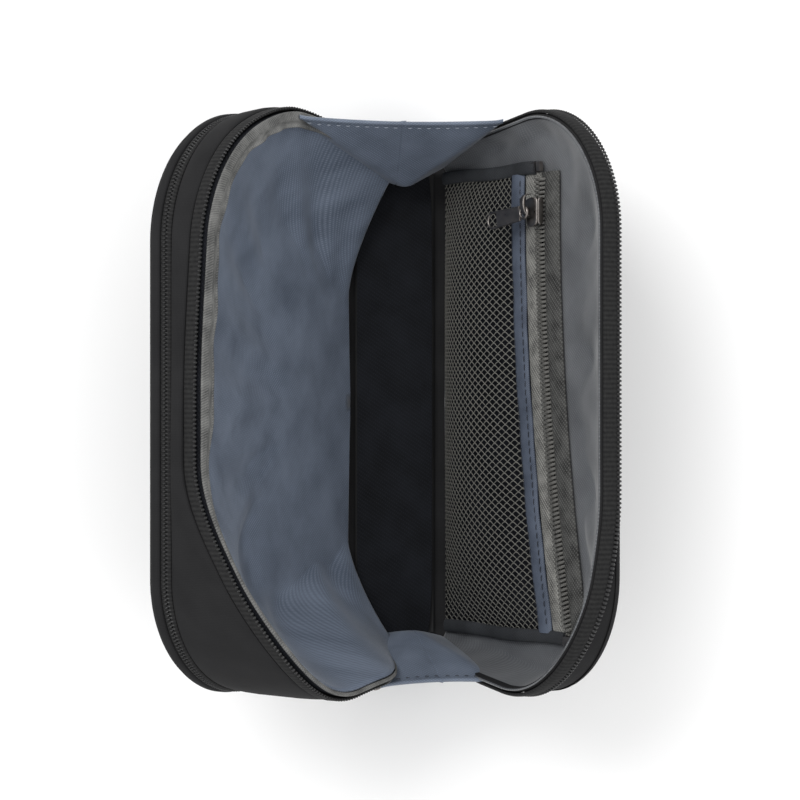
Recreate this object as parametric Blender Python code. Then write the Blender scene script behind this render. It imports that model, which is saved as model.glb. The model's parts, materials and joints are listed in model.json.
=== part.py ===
"""Cable organiser pouch: a soft zipped case that stands open on its base.

The base is the spine of the case. A deep front half and a shallow cover are hinged
on its two long edges and lean outwards until the folded end gussets are taut.
The front half carries a second, flat pocket behind a zipped front panel, and the
cover carries a mesh pocket with its own zip.

Frame: +Z up, origin at the centre of the base's underside, X across the opening
with the front half at -X, Y along the pouch. Each half is drawn closed, in the
frame of its hinge: depth is measured inwards from its outer face, height up from
the hinge line. An empty on the hinge line then leans the half outwards.
"""

import math

import bmesh
import bpy
from mathutils import Matrix, Vector

# ---- driving dimensions, in metres and degrees ----------------------------------
LENGTH = 0.178            # along Y, at the widest
CLOSED_DEPTH = 0.036      # across X when both halves are shut
WALL_HEIGHT = 0.098       # hinge line to the top edge
CORNER_RADIUS = 0.040     # top corners of both halves
LEG_TAPER = 8.0           # how far the short sides lean in towards the base
BASE_LENGTH = 0.160
FRONT_LEAN = 35.0         # outward lean of the front half when open
COVER_LEAN = 31.0         # outward lean of the cover when open

GAP = 0.0003              # clearance between touching pieces
SHELL = 0.0020            # foam-backed outer fabric
BACKING = 0.0012          # divider fabric with its foam
CLOTH = 0.0008            # lining fabric
TAPE = 0.0007             # zip tape
COIL_HEIGHT = 0.0012
MAIN_TAPE_LOW = -0.0012   # outset of the main tape's underside
POCKET_TAPE_LOW = -0.0015
MAIN_COIL_TOP = MAIN_TAPE_LOW + TAPE + GAP + COIL_HEIGHT
POCKET_COIL_TOP = POCKET_TAPE_LOW + TAPE + GAP + COIL_HEIGHT
HINGE_HEIGHT = SHELL      # the panels are sewn to the top of the base fabric
LEG_FOOT = 0.0035         # height at which the short sides start
PANEL_FOOT = 0.0006       # height at which the outer panels start
LINING_FOOT = 0.0030      # height at which linings and the divider start
BASE_BOARD = 0.0015       # stiffener inside the base
BASE_INSET = 0.0050       # the stiffener stops short of the hinge lines and the ends

# Depths inwards from the outer face of the front half.
EDGE_BAND_END = 0.0049
POCKET_ZIP_START = EDGE_BAND_END + GAP
POCKET_ROW = 0.0018       # one row of the pocket zip
MAIN_BAND_START = POCKET_ZIP_START + 2 * POCKET_ROW + 2 * GAP
MAIN_BAND_END = 0.0229
FRONT_RIM = 0.0275        # where the front half's coil row ends
MAIN_ROW = 0.0019         # one row of the main zip
DIVIDER_FOOT = 0.0034     # the divider leans, so that the pocket is a wedge
DIVIDER_TOP = 0.0120
DIVIDER_HEIGHT = 0.0975

# Depths inwards from the outer face of the cover.
COVER_BAND_END = 0.0051
COVER_RIM = CLOSED_DEPTH - FRONT_RIM - GAP
COVER_LINING_END = SHELL + GAP + CLOTH

# The mesh pocket on the cover, heights taken at MESH_ZIP_Y.
MESH_ZIP_Y = 0.060
MESH_ZIP_HEIGHT = 0.0605
MESH_ZIP_SLOPE = -0.120   # the zip climbs towards the right-hand end
MESH_HALF_LENGTH = 0.0710
MESH_FOOT = 0.0045
MESH_BULGE = 0.0085
STOP_LENGTH = 0.0030      # crimped stops at the ends of the pocket's zip
MESH_ROW = 0.0023         # one row of the mesh pocket's zip
MESH_TAPE_WIDTH = 0.0096
MESH_BINDING = 0.0067
END_BINDING = 0.0038

# Sliders and pullers, the same stamping on every zip.
SLIDER_LENGTH = 0.0096
SLIDER_WIDTH = 0.0078
SLIDER_PLATE = 0.0010
SLIDER_FLANGE = 0.0009
BRIDGE_SPAN = 0.0078
BRIDGE_HEIGHT = 0.0036
BRIDGE_BAR = 0.0009
PULLER_LENGTH = 0.0185
PULLER_WIDTH = 0.0053
PULLER_THICK = 0.0010
EYE_OUTER = 0.0016        # the pull's eye turns on the bridge's bar
EYE_INNER = 0.0009
PARKED_HEIGHT = 0.019     # main and pocket sliders, above the hinge line
MESH_SLIDER_Y = 0.0585
MESH_PULLER_LIE = 84.0    # from the cloth's normal: the pull rests on the netting's bulge

GUSSET_FRONT_HEM = 0.056  # height of the gusset's hem on the front half
GUSSET_COVER_HEM = 0.048
GUSSET_FOLD_X = 0.004     # the centre fold
GUSSET_FOOT = 0.0060      # height of its lower edge, above the base lining
GUSSET_INSET = 0.0058     # how far inside the nominal outline it stands
GUSSET_FRONT_DEPTH = 0.0250
GUSSET_COVER_DEPTH = 0.0070
GUSSET_FOOT_X = (-0.0060, 0.0090)   # the two lower corners on the base

ARC_STEPS = 12

HALF_DEPTH = CLOSED_DEPTH / 2
SHALLOW = math.radians(LEG_TAPER)


# ---- scene, materials and small mesh helpers -------------------------------------
def clear_scene():
    for old in list(bpy.data.objects):
        bpy.data.objects.remove(old, do_unlink=True)


def finish(name, colour, roughness, metallic=0.0):
    """A plain Principled material; colour is linear RGB."""
    made = bpy.data.materials.get(name)
    if made is None:
        made = bpy.data.materials.new(name)
        made.use_nodes = True
        shader = made.node_tree.nodes["Principled BSDF"]
        shader.inputs["Base Color"].default_value = (*colour, 1.0)
        shader.inputs["Roughness"].default_value = roughness
        shader.inputs["Metallic"].default_value = metallic
    return made


def charcoal():
    return finish("charcoal_fabric", (0.028, 0.028, 0.029), 0.80)


def black_backing():
    return finish("black_backing", (0.010, 0.010, 0.012), 0.85)


def lining_cloth():
    return finish("blue_grey_lining", (0.085, 0.105, 0.135), 0.60)


def grey_lining():
    return finish("grey_lining", (0.130, 0.135, 0.145), 0.60)


def zip_tape():
    return finish("charcoal_zip_tape", (0.040, 0.040, 0.041), 0.85)


def zip_coil():
    return finish("charcoal_zip_coil", (0.030, 0.030, 0.031), 0.45)


def grey_tape():
    return finish("grey_zip_tape", (0.150, 0.145, 0.142), 0.85)


def grey_coil():
    return finish("grey_zip_coil", (0.140, 0.138, 0.132), 0.45)


def binding_tape():
    return finish("binding_tape", (0.100, 0.115, 0.140), 0.70)


def taupe_mesh():
    return finish("taupe_mesh", (0.120, 0.110, 0.100), 0.80)


def gunmetal():
    return finish("gunmetal", (0.110, 0.100, 0.095), 0.35, 1.0)


def place(name, bm, material, parent=None, smooth=False):
    """Close the bmesh into a named object, its faces turned outwards."""
    bmesh.ops.recalc_face_normals(bm, faces=bm.faces)
    mesh = bpy.data.meshes.new(name)
    bm.to_mesh(mesh)
    bm.free()
    mesh.materials.append(material)
    made = bpy.data.objects.new(name, mesh)
    bpy.context.collection.objects.link(made)
    made.parent = parent
    if smooth:
        mesh.shade_smooth()
        mesh.set_sharp_from_angle(angle=math.radians(35))
    return made


def pivot(name, parent, location, rotation=(0.0, 0.0, 0.0)):
    """An empty on a joint's axis; the pieces that turn or slide are its children."""
    made = bpy.data.objects.new(name, None)
    made.empty_display_size = 0.01
    bpy.context.collection.objects.link(made)
    made.parent = parent
    made.location = location
    made.rotation_euler = rotation
    return made


def prism(outline, start, end):
    """Extrude a closed outline of points through the vector end - start."""
    bm = bmesh.new()
    corners = [bm.verts.new(tuple(p + s for p, s in zip(point, start))) for point in outline]
    face = bm.faces.new(corners)
    grown = bmesh.ops.extrude_face_region(bm, geom=[face])
    moved = [item for item in grown["geom"] if isinstance(item, bmesh.types.BMVert)]
    shift = tuple(e - s for e, s in zip(end, start))
    bmesh.ops.translate(bm, verts=moved, vec=shift)
    return bm


def block(low, high, slope=0.0):
    """A box from corner to corner; slope lifts it in Z as Y grows."""
    outline = [
        (0.0, low[1], low[2] + slope * low[1]),
        (0.0, high[1], low[2] + slope * high[1]),
        (0.0, high[1], high[2] + slope * high[1]),
        (0.0, low[1], high[2] + slope * low[1]),
    ]
    return prism(outline, (low[0], 0.0, 0.0), (high[0], 0.0, 0.0))


# ---- the three-sided outline that both halves share ---------------------------------
def edge_path(outset, foot):
    """Points (y, height) up one short side, over the top and down the other.

    outset moves the path out from the nominal outer surface, and foot is the
    height where the two legs end. The legs are tangent to the corner arcs.
    """
    centre_y = LENGTH / 2 - CORNER_RADIUS
    centre_h = WALL_HEIGHT - CORNER_RADIUS
    radius = CORNER_RADIUS + outset
    side = []
    top_of_leg = centre_h - radius * math.sin(SHALLOW)
    leg_y = centre_y + radius * math.cos(SHALLOW)
    side.append((leg_y - (top_of_leg - foot) * math.tan(SHALLOW), foot))
    sweep = math.pi / 2 + SHALLOW
    for step in range(ARC_STEPS + 1):
        angle = -SHALLOW + sweep * step / ARC_STEPS
        side.append((centre_y + radius * math.cos(angle), centre_h + radius * math.sin(angle)))
    return side + [(-y, h) for y, h in reversed(side)]


def leg_y(height, outset=0.0):
    """Half the length of the case at a height on its short sides."""
    return edge_path(outset, height)[0][0]


def panel(name, side, near, far, outset, foot, material, parent, lean=0.0):
    """A flat panel of the shared outline, between two depths. lean slants it inwards."""
    outline = [(side * lean * h, y, h) for y, h in edge_path(outset, foot)]
    bm = prism(outline, (side * near, 0.0, 0.0), (side * far, 0.0, 0.0))
    return place(name, bm, material, parent)


def strip(name, side, near, far, outer, inner, material, parent, foot=LEG_FOOT):
    """A band that follows the shared outline on three sides, between two outsets."""
    path = edge_path(outer, foot) + list(reversed(edge_path(inner, foot)))
    outline = [(0.0, y, h) for y, h in path]
    bm = prism(outline, (side * near, 0.0, 0.0), (side * far, 0.0, 0.0))
    return place(name, bm, material, parent)


# ---- base ------------------------------------------------------------------------------
def make_base():
    """The fabric spine that the pouch stands on, its stiffener and its lining."""
    half = BASE_LENGTH / 2
    wide = HALF_DEPTH - GAP
    place("base_panel", block((-wide, -half, 0.0), (wide, half, SHELL)), charcoal())

    low = SHELL + GAP
    edge = wide - BASE_INSET
    short = half - BASE_INSET
    made = block((-edge, -short, low), (edge, short, low + BASE_BOARD))
    place("base_stiffener", made, black_backing())

    low += BASE_BOARD + GAP
    made = block((-edge + GAP, -short, low), (edge - GAP, short, low + CLOTH))
    place("base_lining", made, black_backing())


# ---- front half ------------------------------------------------------------------------
def make_front_half(hinge):
    """Divider, lining, main band and the front half's side of the main zip."""
    lean = (DIVIDER_TOP - DIVIDER_FOOT) / DIVIDER_HEIGHT
    inner = -SHELL - 2 * GAP
    near = DIVIDER_FOOT
    panel("divider_wall", 1, near, near + BACKING, inner, LINING_FOOT, black_backing(), hinge, lean)
    near += BACKING + GAP
    panel("front_lining", 1, near, near + CLOTH, inner, LINING_FOOT, lining_cloth(), hinge, lean)

    strip("main_band", 1, MAIN_BAND_START, MAIN_BAND_END, 0.0, -SHELL, charcoal(), hinge)
    lining_start = DIVIDER_TOP + BACKING + CLOTH + 3 * GAP
    outer = -SHELL - GAP
    seam = MAIN_BAND_END - GAP
    strip("band_lining", 1, lining_start, seam, outer, outer - CLOTH, lining_cloth(), hinge)
    strip("rim_binding", 1, seam + GAP, FRONT_RIM - GAP, outer, outer - CLOTH, grey_tape(), hinge)

    low = MAIN_TAPE_LOW
    start = MAIN_BAND_END + GAP
    strip("main_tape_front", 1, start, FRONT_RIM, low + TAPE, low, zip_tape(), hinge)
    low += TAPE + GAP
    start = FRONT_RIM - MAIN_ROW
    strip("main_coil_front", 1, start, FRONT_RIM, low + COIL_HEIGHT, low, zip_coil(), hinge)

    start = POCKET_ZIP_START + POCKET_ROW + GAP
    make_pocket_row("inner", start, hinge)


def make_pocket_row(which, start, parent):
    """One tape and one coil row of the front pocket's zip."""
    low = POCKET_TAPE_LOW
    end = start + POCKET_ROW
    strip("pocket_tape_" + which, 1, start, end, low + TAPE, low, zip_tape(), parent)
    low += TAPE + GAP
    strip("pocket_coil_" + which, 1, start, end, low + COIL_HEIGHT, low, zip_coil(), parent)


def make_pocket_flap(hinge):
    """The front panel with its edge band, lining and outer zip row."""
    panel("front_panel", 1, 0.0, SHELL, 0.0, PANEL_FOOT, charcoal(), hinge)
    strip("front_edge_band", 1, SHELL + GAP, EDGE_BAND_END, 0.0, -SHELL, charcoal(), hinge)
    near = SHELL + GAP
    inner = -SHELL - GAP
    panel("pocket_lining", 1, near, near + CLOTH, inner, LINING_FOOT, black_backing(), hinge)
    make_pocket_row("outer", POCKET_ZIP_START, hinge)


# ---- cover -----------------------------------------------------------------------------
def make_cover(hinge):
    """Back panel, its band and lining, and the cover's side of the main zip."""
    panel("back_panel", -1, 0.0, SHELL, 0.0, PANEL_FOOT, charcoal(), hinge)
    strip("cover_band", -1, SHELL + GAP, COVER_BAND_END, 0.0, -SHELL, charcoal(), hinge)
    inner = -SHELL - GAP
    near = SHELL + GAP
    panel("cover_lining", -1, near, near + CLOTH, inner, LINING_FOOT, grey_lining(), hinge)
    start = COVER_LINING_END + GAP
    end = COVER_RIM - GAP
    strip("cover_band_lining", -1, start, end, inner, inner - CLOTH, grey_lining(), hinge)

    low = MAIN_TAPE_LOW
    start = COVER_BAND_END + GAP
    strip("main_tape_cover", -1, start, COVER_RIM, low + TAPE, low, zip_tape(), hinge)
    low += TAPE + GAP
    start = COVER_RIM - MAIN_ROW
    strip("main_coil_cover", -1, start, COVER_RIM, low + COIL_HEIGHT, low, zip_coil(), hinge)


def mesh_bar(name, bottom, top, near, far, material, hinge, reach=MESH_HALF_LENGTH):
    """A bar along the mesh pocket's zip line, heights measured from that line."""
    base = MESH_ZIP_HEIGHT - MESH_ZIP_SLOPE * MESH_ZIP_Y
    low = (-far, -reach, base + bottom)
    high = (-near, reach, base + top)
    return place(name, block(low, high, MESH_ZIP_SLOPE), material, hinge)


def make_mesh_pocket(hinge):
    """Two zip tapes and rows, the bound top edge and the bulged mesh below it."""
    near = COVER_LINING_END + GAP
    far = near + TAPE
    half_gap = GAP / 2
    top = MESH_TAPE_WIDTH
    mesh_bar("mesh_tape_upper", half_gap, top, near, far, grey_tape(), hinge)
    mesh_bar("mesh_tape_lower", -top, -half_gap, near, far, grey_tape(), hinge)
    coil_near = far + GAP
    coil_far = coil_near + COIL_HEIGHT
    row = MESH_ROW + half_gap
    mesh_bar("mesh_coil_upper", half_gap, row, coil_near, coil_far, grey_coil(), hinge)
    mesh_bar("mesh_coil_lower", -row, -half_gap, coil_near, coil_far, grey_coil(), hinge)

    binding_top = -top - GAP
    binding_low = binding_top - MESH_BINDING
    mesh_bar("mesh_binding", binding_low, binding_top, near, far, binding_tape(), hinge)
    make_mesh_panel(binding_low - GAP, near, hinge)
    make_end_bindings(near, hinge)
    make_zip_stops(coil_near, coil_far, row, hinge)


def make_mesh_panel(top, near, hinge):
    """A sheet that stands off the lining: a grid raised by a sine in both directions."""
    across = 16
    up = 8
    bm = bmesh.new()
    bmesh.ops.create_grid(bm, x_segments=across, y_segments=up, size=1.0)
    base = MESH_ZIP_HEIGHT - MESH_ZIP_SLOPE * MESH_ZIP_Y - TAPE
    for vert in bm.verts:
        along = vert.co.x
        rise = (vert.co.y + 1) / 2
        y = along * (MESH_HALF_LENGTH - TAPE)
        ceiling = base + top + MESH_ZIP_SLOPE * y
        height = MESH_FOOT + rise * (ceiling - MESH_FOOT)
        swell = math.sin(math.pi * rise) * (1 - along ** 4)
        vert.co = (-(near + MESH_BULGE * swell), y, height)
    made = place("mesh_panel", bm, taupe_mesh(), hinge)
    wall = made.modifiers.new("thickness", "SOLIDIFY")
    wall.thickness = TAPE
    wall.offset = 1.0 if made.data.polygons[0].normal.x < 0 else -1.0
    return made


def make_end_bindings(near, hinge):
    """Fabric strips that bind the pocket's two short ends."""
    base = MESH_ZIP_HEIGHT - MESH_ZIP_SLOPE * MESH_ZIP_Y
    start = MESH_HALF_LENGTH + GAP
    end = start + END_BINDING
    for name, sign in (("mesh_end_binding_left", 1), ("mesh_end_binding_right", -1)):
        corners = [(start, MESH_FOOT), (end, MESH_FOOT)]
        corners += [(y, base + MESH_ZIP_SLOPE * sign * y) for y in (end, start)]
        points = [(0.0, sign * y, h) for y, h in corners]
        bm = prism(points, (-near - TAPE, 0.0, 0.0), (-near, 0.0, 0.0))
        place(name, bm, grey_lining(), hinge)


def make_zip_stops(near, far, row, hinge):
    """Crimped stops: one across both rows at the right end, one on each at the left."""
    base = MESH_ZIP_HEIGHT - MESH_ZIP_SLOPE * MESH_ZIP_Y
    start = MESH_HALF_LENGTH + GAP
    end = start + STOP_LENGTH
    low = (-far, -end, base - row)
    high = (-near, -start, base + row)
    place("mesh_bottom_stop", block(low, high, MESH_ZIP_SLOPE), gunmetal(), hinge)
    low = (-far, start, base + GAP)
    high = (-near, end, base + row)
    place("mesh_top_stop_upper", block(low, high, MESH_ZIP_SLOPE), gunmetal(), hinge)
    low = (-far, start, base - row)
    high = (-near, end, base - GAP)
    place("mesh_top_stop_lower", block(low, high, MESH_ZIP_SLOPE), gunmetal(), hinge)


# ---- end gussets -----------------------------------------------------------------------
def front_point(depth, height):
    """World (x, z) of a point of the open front half."""
    lean = math.radians(FRONT_LEAN)
    x = -HALF_DEPTH + depth * math.cos(lean) - height * math.sin(lean)
    return x, HINGE_HEIGHT + depth * math.sin(lean) + height * math.cos(lean)


def cover_point(depth, height):
    """World (x, z) of a point of the open cover."""
    lean = math.radians(COVER_LEAN)
    x = HALF_DEPTH - depth * math.cos(lean) + height * math.sin(lean)
    return x, HINGE_HEIGHT + depth * math.sin(lean) + height * math.cos(lean)


def make_gussets():
    """Thin fans of lining fabric between the halves, each split at its centre fold."""
    hem_y = leg_y(GUSSET_COVER_HEM, -GUSSET_INSET)
    foot_y = leg_y(0.0, -GUSSET_INSET)
    front_hem = front_point(GUSSET_FRONT_DEPTH, GUSSET_FRONT_HEM)
    cover_hem = cover_point(GUSSET_COVER_DEPTH, GUSSET_COVER_HEM)
    share = (GUSSET_FOLD_X - front_hem[0]) / (cover_hem[0] - front_hem[0])
    fold_top = front_hem[1] + share * (cover_hem[1] - front_hem[1])
    slope = (hem_y - foot_y) / front_hem[1]

    front_foot = front_point(GUSSET_FRONT_DEPTH, LEG_FOOT)
    cover_foot = cover_point(GUSSET_COVER_DEPTH, LEG_FOOT)
    low = GUSSET_FOOT
    left_x = GUSSET_FOLD_X - GAP / 2
    right_x = GUSSET_FOLD_X + GAP / 2
    front_low = (GUSSET_FOOT_X[0], low)
    cover_low = (GUSSET_FOOT_X[1], low)
    outlines = {
        "front": [front_hem, front_foot, front_low, (left_x, low), (left_x, fold_top)],
        "cover": [(right_x, fold_top), (right_x, low), cover_low, cover_foot, cover_hem],
    }
    for end, sign in (("left", 1), ("right", -1)):
        for part, outline in outlines.items():
            points = [(x, sign * (foot_y + slope * z), z) for x, z in outline]
            bm = prism(points, (0.0, 0.0, 0.0), (0.0, -sign * CLOTH, 0.0))
            place(f"{end}_gusset_{part}", bm, lining_cloth())


# ---- sliders and pullers ---------------------------------------------------------------
def seat_frame(name, parent, origin, x_axis, y_axis):
    """An empty whose X and Y axes are given in its parent's frame."""
    x_axis = Vector(x_axis).normalized()
    y_axis = Vector(y_axis).normalized()
    turn = Matrix((x_axis, y_axis, x_axis.cross(y_axis))).transposed()
    return pivot(name, parent, origin, turn.to_euler())


def make_slider(name, seat, chain_half, skirt, open_side):
    """A slider over a zip chain: one channel section, a plate with flanges.

    The seat's frame has +X out of the cloth, +Y along the zip towards the slider's
    mouth, and X = 0 at the top of the coil. chain_half is half the chain's width
    and skirt how far the flanges reach down beside it. An open-sided slider has
    its flange only at +Z, so that the other half's row can leave it at -Z.
    """
    half = SLIDER_LENGTH / 2
    wide = SLIDER_WIDTH / 2
    inner = chain_half + GAP
    outer = inner + SLIDER_FLANGE
    top = GAP + SLIDER_PLATE
    plate = [(GAP, wide), (top, wide), (top, -wide), (GAP, -wide)]
    flange = [(GAP, inner), (-skirt, inner), (-skirt, outer), (GAP, outer)]
    section = plate + flange
    if not open_side:
        section = plate + [(x, -z) for x, z in reversed(flange)] + flange
    points = [(x, 0.0, z) for x, z in section]
    place(name, prism(points, (0.0, -half, 0.0), (0.0, half, 0.0)), gunmetal(), seat)


def make_bridge(name, seat, along_zip):
    """The arch that holds the pull; returns the height of its bar's centre."""
    foot = GAP + SLIDER_PLATE + GAP
    top = foot + BRIDGE_HEIGHT
    reach = BRIDGE_SPAN / 2
    bar = BRIDGE_BAR
    arch = [
        (foot, -reach), (top - bar, -reach), (top, -reach + bar), (top, reach - bar),
        (top - bar, reach), (foot, reach), (foot, reach - bar), (top - bar, reach - bar),
        (top - bar, -reach + bar), (foot, -reach + bar),
    ]
    width = BRIDGE_BAR / 2
    if along_zip:
        points = [(x, across, 0.0) for x, across in arch]
        bm = prism(points, (0.0, 0.0, -width), (0.0, 0.0, width))
    else:
        points = [(x, 0.0, across) for x, across in arch]
        bm = prism(points, (0.0, -width, 0.0), (0.0, width, 0.0))
    place(name, bm, gunmetal(), seat)
    return top - bar / 2


def make_puller(name, pin):
    """A flat pull with a rounded end, along the pin's +X and turning about its Y axis."""
    width = PULLER_WIDTH / 2
    steps = 10
    end = PULLER_LENGTH - width
    start = EYE_INNER + GAP
    outline = [(start, -width)]
    for step in range(steps + 1):
        angle = -math.pi / 2 + math.pi * step / steps
        outline.append((end + width * math.cos(angle), width * math.sin(angle)))
    outline.append((start, width))
    thick = PULLER_THICK / 2
    points = [(along, y, 0.0) for along, y in outline]
    pull = place(name, prism(points, (0.0, 0.0, -thick), (0.0, 0.0, thick)), gunmetal(), pin)
    add_tool(pull, name + "_eye", EYE_OUTER, PULLER_WIDTH, "UNION")
    add_tool(pull, name + "_bore", EYE_INNER, PULLER_WIDTH * 2, "DIFFERENCE")


def add_tool(target, name, radius, length, operation):
    """Join or cut with a hidden cylinder along the target's own Y axis."""
    bm = bmesh.new()
    bmesh.ops.create_cone(
        bm, cap_ends=True, segments=16, radius1=radius, radius2=radius, depth=length
    )
    bmesh.ops.rotate(bm, verts=bm.verts, matrix=Matrix.Rotation(math.pi / 2, 3, "X"))
    tool = place(name, bm, gunmetal(), target.parent)
    tool.hide_render = True
    tool.display_type = "WIRE"
    step = target.modifiers.new(name, "BOOLEAN")
    step.operation = operation
    step.solver = "EXACT"
    step.object = tool


def make_mesh_slider(hinge):
    """The mesh pocket's slider, its pull resting on the bulge of the netting."""
    top_of_coil = COVER_LINING_END + GAP + TAPE + GAP + COIL_HEIGHT
    height = MESH_ZIP_HEIGHT + MESH_ZIP_SLOPE * (MESH_SLIDER_Y - MESH_ZIP_Y)
    origin = (-top_of_coil, MESH_SLIDER_Y, height)
    seat = seat_frame("mesh_slider_seat", hinge, origin, (-1, 0, 0), (0, 1, MESH_ZIP_SLOPE))
    make_slider("mesh_slider", seat, MESH_ROW + GAP / 2, COIL_HEIGHT - GAP, False)
    bar = make_bridge("mesh_slider_bridge", seat, along_zip=True)
    lie = math.radians(MESH_PULLER_LIE)
    down = (math.cos(lie), 0.0, math.sin(lie))
    pin = seat_frame("mesh_puller_pin", seat, (bar, 0.0, 0.0), down, (0, 1, 0))
    make_puller("mesh_puller", pin)


def make_side_slider(name, hinge, depth, top_of_coil, chain_half, skirt, mouth_up):
    """A slider parked low on the right-hand short side, its pull hanging down."""
    origin = (depth, -leg_y(PARKED_HEIGHT, top_of_coil), PARKED_HEIGHT)
    out = (0.0, -math.cos(SHALLOW), -math.sin(SHALLOW))
    up = Vector((0.0, -math.sin(SHALLOW), math.cos(SHALLOW)))
    mouth = up if mouth_up else -up
    seat = seat_frame(name + "_slider_seat", hinge, origin, out, mouth)
    make_slider(name + "_slider", seat, chain_half, skirt, True)
    bar = make_bridge(name + "_slider_bridge", seat, along_zip=False)
    hang = math.pi / 2 - SHALLOW
    down = (math.cos(hang), -math.sin(hang) if mouth_up else math.sin(hang), 0.0)
    pin = seat_frame(name + "_puller_pin", seat, (bar, 0.0, 0.0), down, (0, 0, 1))
    make_puller(name + "_puller", pin)


def make_side_sliders(hinge):
    """The main zip's slider and the pocket zip's, both run down to the low end."""
    depth = FRONT_RIM + GAP / 2
    half = MAIN_ROW + GAP / 2
    skirt = COIL_HEIGHT - GAP
    make_side_slider("main", hinge, depth, MAIN_COIL_TOP, half, skirt, True)
    depth = POCKET_ZIP_START + POCKET_ROW + GAP / 2
    half = POCKET_ROW + GAP / 2
    skirt = POCKET_COIL_TOP - GAP
    make_side_slider("pocket", hinge, depth, POCKET_COIL_TOP, half, skirt, False)


def main():
    clear_scene()
    make_base()
    front_hinge = pivot("front_hinge", None, (-HALF_DEPTH, 0.0, HINGE_HEIGHT))
    front_hinge.rotation_euler = (0.0, -math.radians(FRONT_LEAN), 0.0)
    flap_hinge = pivot("pocket_flap_hinge", front_hinge, (0.0, 0.0, 0.0))
    cover_hinge = pivot("cover_hinge", None, (HALF_DEPTH, 0.0, HINGE_HEIGHT))
    cover_hinge.rotation_euler = (0.0, math.radians(COVER_LEAN), 0.0)
    make_front_half(front_hinge)
    make_pocket_flap(flap_hinge)
    make_side_sliders(front_hinge)
    make_cover(cover_hinge)
    make_mesh_pocket(cover_hinge)
    make_mesh_slider(cover_hinge)
    make_gussets()


main()
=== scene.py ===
"""Looks for a soft zipped cable pouch that stands open on its base.

The pouch is two shallow fabric trays hinged on a flat spine: a deep front half that
carries a flat zipped pocket, and a shallow cover that carries a zipped mesh pocket.
Sizes below are in millimetres and are turned to metres as each mesh is made. Depth
is measured inwards from a half's outer face, height up its wall from the hinge line.
"""

import json
import math

import bmesh
import bpy
import numpy as np
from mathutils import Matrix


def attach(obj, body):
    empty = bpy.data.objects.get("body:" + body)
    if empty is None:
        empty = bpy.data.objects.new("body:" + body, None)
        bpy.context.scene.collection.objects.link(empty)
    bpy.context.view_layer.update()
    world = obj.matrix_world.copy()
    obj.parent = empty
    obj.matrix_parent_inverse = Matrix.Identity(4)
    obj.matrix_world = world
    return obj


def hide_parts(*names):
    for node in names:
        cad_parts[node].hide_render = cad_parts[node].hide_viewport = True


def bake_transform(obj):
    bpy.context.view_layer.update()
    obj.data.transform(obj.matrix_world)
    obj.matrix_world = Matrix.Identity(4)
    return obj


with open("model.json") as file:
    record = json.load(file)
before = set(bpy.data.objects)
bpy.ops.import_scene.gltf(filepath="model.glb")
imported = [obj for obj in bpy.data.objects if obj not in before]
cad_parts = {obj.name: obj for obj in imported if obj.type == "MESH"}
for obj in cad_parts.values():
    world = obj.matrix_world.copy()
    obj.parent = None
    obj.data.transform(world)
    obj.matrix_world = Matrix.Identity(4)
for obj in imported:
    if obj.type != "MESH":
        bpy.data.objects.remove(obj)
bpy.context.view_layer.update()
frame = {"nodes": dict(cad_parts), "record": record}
nodes = frame["nodes"]


# ---- Base ------------------------------------------------------------------------
# The spine is a flat strip of the foam-backed outer fabric, sewn to both walls along
# its long edges. A stiff board lies inside it under a dark twill floor lining, whose
# black is partly painted shade.
def linear(hex_colour):
    """Linear RGBA of an sRGB hex value."""
    parts = [int(hex_colour[i : i + 2], 16) / 255 for i in (1, 3, 5)]
    return tuple(c / 12.92 if c <= 0.04045 else ((c + 0.055) / 1.055) ** 2.4 for c in parts) + (1,)


def add(tree, kind, settings=None, **links):
    """Add a node, set its sockets and properties, and link sockets by name."""
    node = tree.nodes.new(kind)
    for key, value in (settings or {}).items():
        if isinstance(key, int) or key in node.inputs:
            node.inputs[key].default_value = value
        else:
            setattr(node, key, value)
    for key, source in links.items():
        slot = int(key[1:]) if key[0] == "i" and key[1:].isdigit() else key.replace("_", " ")
        tree.links.new(source, node.inputs[slot])
    return node


def start_material(name, roughness, metallic=0.0, sheen=0.0, gloss=0.5):
    """A Principled material with its constants on the shader's own sockets."""
    material = bpy.data.materials.new(name)
    material.use_nodes = True
    shader = material.node_tree.nodes["Principled BSDF"]
    shader.inputs["Roughness"].default_value = roughness
    shader.inputs["Metallic"].default_value = metallic
    shader.inputs["Specular IOR Level"].default_value = gloss
    if sheen:
        shader.inputs["Sheen Weight"].default_value = sheen
        shader.inputs["Sheen Roughness"].default_value = 0.45
    return material, material.node_tree, shader


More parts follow.
